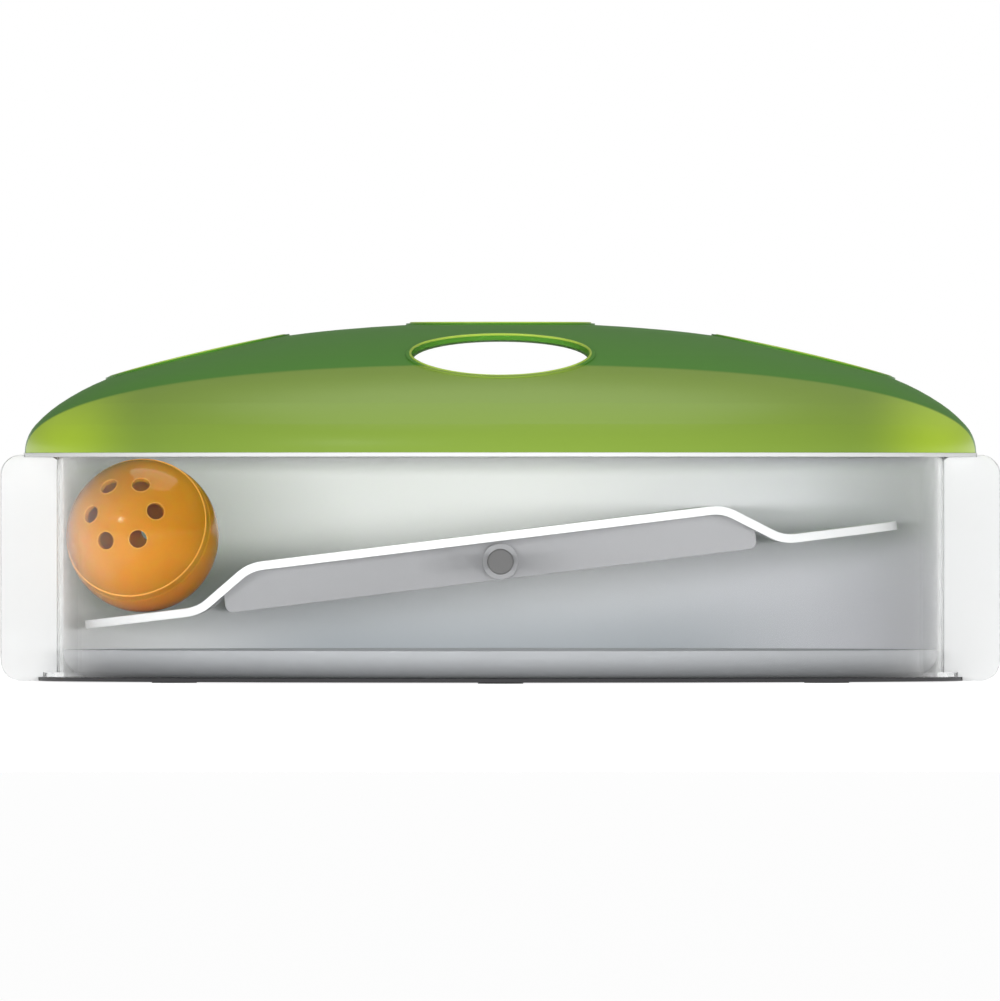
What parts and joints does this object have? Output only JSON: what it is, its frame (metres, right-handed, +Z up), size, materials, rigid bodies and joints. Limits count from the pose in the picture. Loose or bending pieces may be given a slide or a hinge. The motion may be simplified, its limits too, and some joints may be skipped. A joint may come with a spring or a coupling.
{
  "type": "cat puzzle feeder",
  "caption": "Round tub with a domed lid pierced by paw holes, a clear front, and a rocking tray on which a hollow treat ball rolls.",
  "frame": {"origin": "on the floor, on the tub's axis, under the middle rubber foot", "axes": "+X to the right of the clear front, +Y to the rear wall, +Z up"},
  "size_m": [0.4, 0.3907, 0.1435],
  "materials": {
    "white_shell": "smooth moulded gloss",
    "inner_wall": "satin moulded",
    "dark_base": "fine spark texture",
    "rubber": "matt soft",
    "steel": "drawn and zinc plated",
    "floor_grey": "satin moulded",
    "clear_window": "clear polished plastic",
    "green_dome": "two greens, glossy",
    "white_tray": "smooth moulded",
    "rail_grey": "satin moulded",
    "pivot_grey": "satin moulded",
    "orange_ball": "translucent glossy plastic"
  },
  "bodies": {
    "tub": {"rear_wall_outer": "white_shell", "rear_wall_inner": "inner_wall", "end_cap_left": "white_shell", "end_cap_right": "white_shell", "base_plate": "dark_base", "rubber_feet": "rubber", "base_screws": "steel", "floor_bowl": "floor_grey", "front_window": "clear_window", "rim_ring": "white_shell", "axle": "steel", "axle_cap": "pivot_grey", "tilt_stop": "rail_grey", "stop_pin": "steel", "stop_pads": "rubber"},
    "lid": {"dome_lid": "green_dome"},
    "rocker": {"rocker_tray": "white_tray", "rail_front": "rail_grey", "rail_rear": "rail_grey", "rail_screws": "steel", "bush_front": "pivot_grey", "bush_rear": "pivot_grey"},
    "ball": {"ball_cup": "orange_ball"},
    "ball_front": {"ball_cap": "orange_ball"}
  },
  "joints": [
    {"name": "lid_lift", "type": "slide", "parent": "tub", "child": "lid", "axis": [0, 0, 1], "range_m": [0, 0.15]},
    {"name": "rocker_tilt", "type": "hinge", "parent": "tub", "child": "rocker", "pos_m": [0, 0, 0.0484], "axis": [0, 1, 0], "range_deg": [0, 14]},
    {"name": "ball_roll", "type": "hinge", "parent": "rocker", "child": "ball", "pos_m": [0, 0, 0.0484], "axis": [-0.1219, 0, 0.9925], "range_deg": [-22, 22]},
    {"name": "ball_twist", "type": "hinge", "parent": "ball", "child": "ball_front", "pos_m": [-0.1431, 0, 0.05844], "axis": [-0.267, -0.9016, 0.3404], "range_deg": [0, 30]}
  ]
}
